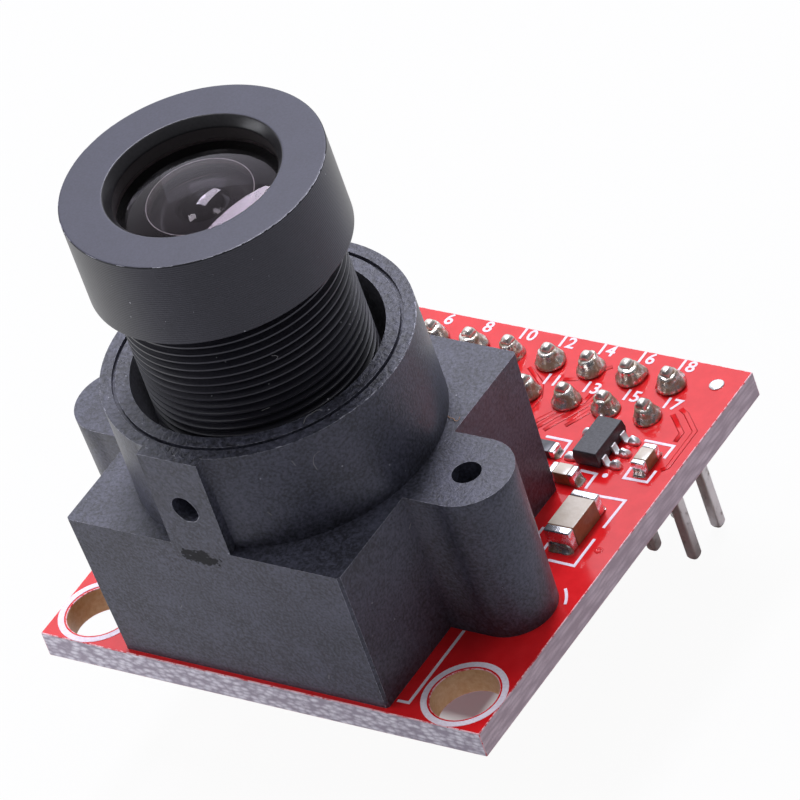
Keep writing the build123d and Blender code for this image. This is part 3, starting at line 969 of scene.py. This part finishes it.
def rim_paths(radius, level, uneven, start, sweep, gap, seed):
    """Arcs of burr round a turned edge, from start over sweep in degrees."""
    chance = random.Random(seed)
    paths, turn = [], start
    while turn < start + sweep:
        path = []
        for k in range(chance.randint(4, 14)):
            reach = radius + chance.uniform(-uneven, uneven)
            path.append((axis.x + reach * cos(radians(turn)), axis.y + reach * sin(radians(turn)),
                         level + chance.uniform(-uneven, uneven)))
            turn += 0.8
        paths.append(path)
        turn += chance.uniform(0.1, gap)
    return paths


def hole_paths(start, sweep):
    """An arc of burr round the set-screw hole's mouth, in degrees."""
    x, y, z = screw_hole
    reach = screw_hole_radius + 0.02
    return [[(x + reach * cos(radians(turn)), y, z + reach * sin(radians(turn)))
             for turn in range(start, start + sweep, 9)]]


hair_brown = grained("hair_brown", (0.30, 0.15, 0.07), (0.5, 0.3, 0.16), 0.1, 0.6)
lint_pale = grained("lint_pale", (0.30, 0.29, 0.29), (0.46, 0.44, 0.42), 0.1, 0.7)
burr_pale = grained("burr_pale", (0.10, 0.10, 0.12), (0.62, 0.62, 0.68), 0.3, 0.6, spread=0.9)
on_holder, on_barrel = ("holder_plastic", "board"), ("anodised_barrel", "barrel")
for name, shape, material, slot_and_body in (
        ("stray_fibre", strand([hair_path], 0.028, 1), hair_brown, on_holder),
        ("pale_lint", strand(lint_paths, 0.015, 2), lint_pale, on_holder),
        ("thread_lint", strand(thread_lint_paths, 0.014, 3), lint_pale, on_barrel),
        ("rim_burr", strand(rim_paths(*turret_edge, -26, 56, 0.5, 4), 0.04, 6), burr_pale,
         on_holder),
        ("rim_flash", strand(rim_paths(*turret_edge, -150, 118, 7.0, 5), 0.022, 7), burr_pale,
         on_holder),
        ("hole_burr", strand(hole_paths(-130, 190), 0.035, 12, wander=0.012), burr_pale,
         on_holder),
        ("head_rub", strand(rim_paths(*head_edge, -52, 74, 1.2, 8), 0.02, 9), burr_pale,
         on_barrel),
        ("head_nicks", strand(rim_paths(*head_edge, -200, 145, 16.0, 10), 0.018, 11), burr_pale,
         on_barrel)):
    new_piece(name, shape, [material], *slot_and_body)


# Studio: a white floor under the pin tips, large lamps overhead and behind, and small ones
# at the left front and above. The surround is white for the camera only; for the rest it is
# a dim room, brighter above and at the left, and dimmer still through glass.
floor_level = board_low.z / mm - 8.42
floor_half = 0.8
room_glow = [((-0.25, 0.15, 0.95), -0.2, 1.0, 0.5), ((-0.95, 0.3, 0.0), 0.5, 0.98, 0.5),
             ((-0.30, 0.85, 0.43), 0.55, 1.0, 0.75)]
board_shadow = [("X", 6.2, 4.6), ("X", -13.0, -9.0), ("Y", 5.4, 7.0), ("Y", 24.0, 20.0)]


def mixed(tree, share, under, over):
    """Mixes two shaders; returns the node."""
    mix = add(tree, "MixShader", Fac=share)
    feed(tree, mix.inputs[1], under.outputs[0])
    feed(tree, mix.inputs[2], over.outputs[0])
    return mix


def studio_floor():
    """A plain white floor with the board's shadow; it is clear when looked at from below."""
    shape = bmesh.new()
    bmesh.ops.create_grid(shape, x_segments=1, y_segments=1, size=floor_half)
    data = bpy.data.meshes.new("floor")
    shape.to_mesh(data)
    shape.free()
    material, tree, shader = finish("floor_white", 0.9, Base_Color=(0.56, 0.56, 0.58))
    floor = new_object("floor", data, [material])
    floor.location = (0, 0, floor_level * mm)
    glow = add(tree, "Emission", Color=(1, 1, 1), Strength=1.0)
    path = add(tree, "LightPath").outputs
    seen = math(tree, "ADD", path["Is Camera Ray"], path["Is Transmission Ray"])
    parts = axes(tree)
    leftward = math(tree, "MULTIPLY_ADD", parts["Y"], 0.45,
                    math(tree, "MULTIPLY", parts["X"], -1.0))
    left_side = mapped(tree, leftward, 2 * mm, 34 * mm)
    mirrored = math(tree, "MULTIPLY", path["Is Glossy Ray"], left_side)
    under = 1.0
    for part, start, stop in board_shadow:
        inside = mapped(tree, parts[part], start * mm, stop * mm)
        under = math(tree, "MULTIPLY", under, inside)
    hidden = math(tree, "MULTIPLY_ADD", under, -0.9, 0.95)
    share = math(tree, "ADD", math(tree, "MULTIPLY", seen, hidden), mirrored)
    lit = mixed(tree, share, shader, glow)
    below = add(tree, "NewGeometry").outputs["Backfacing"]
    one_sided = mixed(tree, below, lit, add(tree, "BsdfTransparent"))
    fill(tree, tree.nodes["Material Output"], Surface=one_sided.outputs[0])


def surround():
    """White for the camera; for the rest a dim room that is brighter above and at the left."""
    world = bpy.data.worlds.new("surround")
    bpy.context.scene.world = world
    world.use_nodes = True
    tree = world.node_tree
    white = fill(tree, tree.nodes["Background"], Color=(1, 1, 1), Strength=1.0)
    path = add(tree, "LightPath").outputs
    facing = add(tree, "TexCoord").outputs["Generated"]
    strength = 0.045
    for aim, start, stop, peak in room_glow:
        toward = math(tree, "DOT_PRODUCT", facing, Vector(aim).normalized(), kind="VectorMath")
        strength = math(tree, "ADD", strength, mapped(tree, toward, start, stop, high=peak))
    open_share = math(tree, "MULTIPLY_ADD", path["Is Transmission Ray"], -0.9, 1.0)
    strength = math(tree, "MULTIPLY", strength, open_share)
    room = add(tree, "Background", Color=(0.91, 0.93, 1.0), Strength=strength)
    both = mixed(tree, path["Is Camera Ray"], room, white)
    fill(tree, tree.nodes["World Output"], Surface=both.outputs[0])


def softbox(name, place_mm, aim_mm, width, depth, radiance, tint=(0.93, 0.94, 1.0)):
    """A rectangular lamp; its power follows from the brightness of its face."""
    lamp = bpy.data.lights.new(name, "AREA")
    lamp.shape = "RECTANGLE"
    lamp.size = width * mm
    lamp.size_y = depth * mm
    lamp.color = tint
    lamp.energy = radiance * pi * width * depth * mm * mm
    light = new_object(name, lamp)
    light.location = Vector(place_mm) * mm
    facing = Vector(aim_mm) - Vector(place_mm)
    light.rotation_euler = facing.to_track_quat("-Z", "Y").to_euler()


studio_floor()
surround()
softbox("overhead", (-60, 150, 278), (-60, 150, 0), 66, 210, 19.4, tint=(0.925, 0.915, 1.06))
softbox("back_left", (-150, 250, 170), (0, 10, 10), 230, 190, 0.5, tint=(0.86, 0.88, 1.08))
softbox("left_front", (-64, -38, 29), (-4, 0, 8), 38, 38, 4.1)
softbox("high_left", (-60, -50, 260), (0, 5, 25), 44, 44, 9)
softbox("high_right", (60, 40, 270), (0, 5, 25), 40, 40, 6)

azimuth = radians(45.281)
elevation = radians(38.046)
roll = radians(-20.296)
camera_place = Vector((0.2397358, -0.2229005, 0.2703672))
focal_length = 370.297


def photograph_camera():
    """The camera where the photograph was taken from, with its roll."""
    back = Vector((sin(azimuth) * cos(elevation), -cos(azimuth) * cos(elevation), sin(elevation)))
    level = Vector((cos(azimuth), sin(azimuth), 0))
    upright = back.cross(level)
    right = cos(roll) * level + sin(roll) * upright
    up = -sin(roll) * level + cos(roll) * upright
    lens = bpy.data.cameras.new("camera")
    lens.lens = focal_length
    lens.sensor_width = 36
    lens.clip_start = 0.01
    lens.clip_end = 10
    camera = new_object("camera", lens)
    camera.matrix_world = Matrix.Translation(camera_place) @ Matrix((
        right, up, back)).transposed().to_4x4()
    bpy.context.scene.camera = camera


photograph_camera()
bpy.context.scene.view_settings.view_transform = "Standard"
